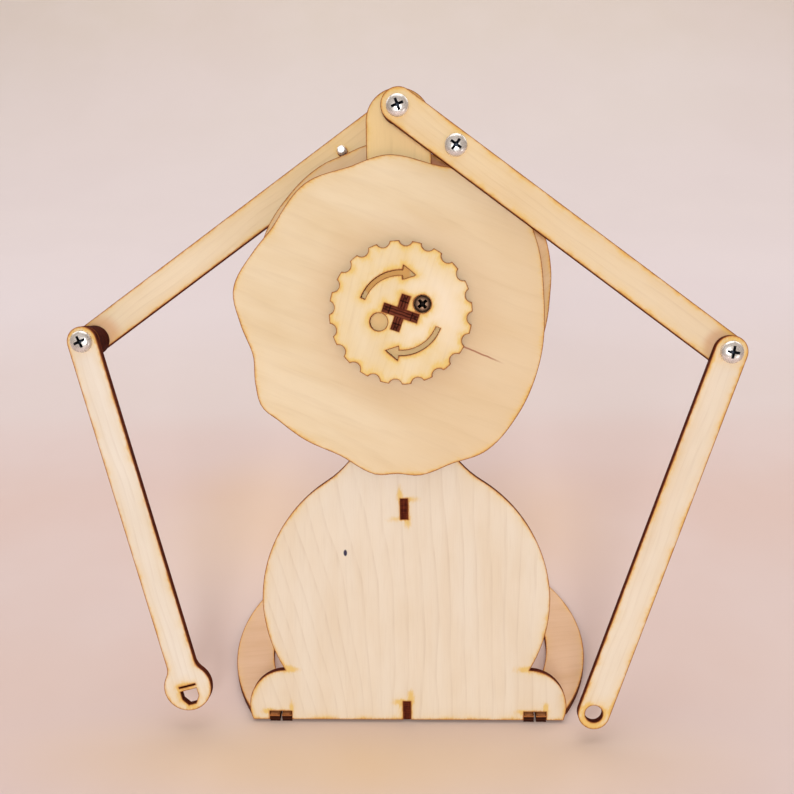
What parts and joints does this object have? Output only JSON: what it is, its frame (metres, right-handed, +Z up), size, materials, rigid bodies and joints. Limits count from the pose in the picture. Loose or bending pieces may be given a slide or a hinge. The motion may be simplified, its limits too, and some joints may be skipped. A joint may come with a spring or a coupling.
{
  "type": "cam drawing machine",
  "caption": "Hand-cranked plywood drawing machine: a leaning plate on a ring base, a knob that turns wavy cams, and jointed arms that the cams lift to guide a pencil.",
  "frame": {"origin": "on the floor at the centre of the ring base, where the rib's bottom edge crosses it", "axes": "+Z up, the front faces -Y, +X to the right as seen from the front"},
  "size_m": [0.2401, 0.1221, 0.2183],
  "materials": {
    "birch_ply": "raw sanded veneer with laser-burnt edges",
    "birch_ply_base": "raw sanded veneer with laser-burnt edges",
    "birch_ply_cam": "raw sanded veneer with laser-burnt edges",
    "burnt_ply": "laser-burnt end grain",
    "zinc_steel": "bright zinc",
    "dark_steel": "zinc in shadow"
  },
  "bodies": {
    "frame": {"front_plate": "birch_ply", "base_ring": "birch_ply_base", "centre_rib": "birch_ply", "pivot_screw": "zinc_steel", "pivot_nut": "zinc_steel", "pivot_spacer_front": "burnt_ply", "pivot_spacer_back": "burnt_ply"},
    "cam_rotor": {"front_cam": "birch_ply_cam", "back_cam": "birch_ply_cam", "knob": "birch_ply", "shaft_strip_a": "burnt_ply", "shaft_strip_b": "burnt_ply", "knob_screw": "dark_steel"},
    "right_upper": {"right_upper_arm": "birch_ply", "right_follower_screw": "zinc_steel", "right_elbow_screw": "zinc_steel", "right_elbow_nut": "zinc_steel"},
    "right_fore": {"right_forearm": "birch_ply"},
    "left_upper": {"left_upper_arm": "birch_ply", "left_follower_screw": "zinc_steel", "left_elbow_screw": "zinc_steel", "left_elbow_nut": "zinc_steel", "left_spacer_front": "burnt_ply", "left_spacer_middle": "burnt_ply", "left_spacer_back": "burnt_ply"},
    "left_fore": {"left_forearm": "birch_ply"}
  },
  "joints": [
    {"name": "cam_spin", "type": "hinge", "parent": "frame", "child": "cam_rotor", "pos_m": [0, 0.01076, 0.14297], "axis": [0, 0.9397, -0.342], "continuous": true},
    {"name": "right_shoulder", "type": "hinge", "parent": "frame", "child": "right_upper", "pos_m": [0, 0.02899, 0.21178], "axis": [0, -0.9397, 0.342], "range_deg": [0, 75]},
    {"name": "right_elbow", "type": "hinge", "parent": "right_upper", "child": "right_fore", "pos_m": [0.11366, -0.00341, 0.13211], "axis": [0, -0.9397, 0.342], "range_deg": [-96, 150]},
    {"name": "left_shoulder", "type": "hinge", "parent": "frame", "child": "left_upper", "pos_m": [0, 0.04102, 0.20741], "axis": [0, 0.9397, -0.342], "range_deg": [0, 75]},
    {"name": "left_elbow", "type": "hinge", "parent": "left_upper", "child": "left_fore", "pos_m": [-0.11414, 0.00186, 0.13724], "axis": [0, 0.9397, -0.342], "range_deg": [-60, 150]}
  ]
}
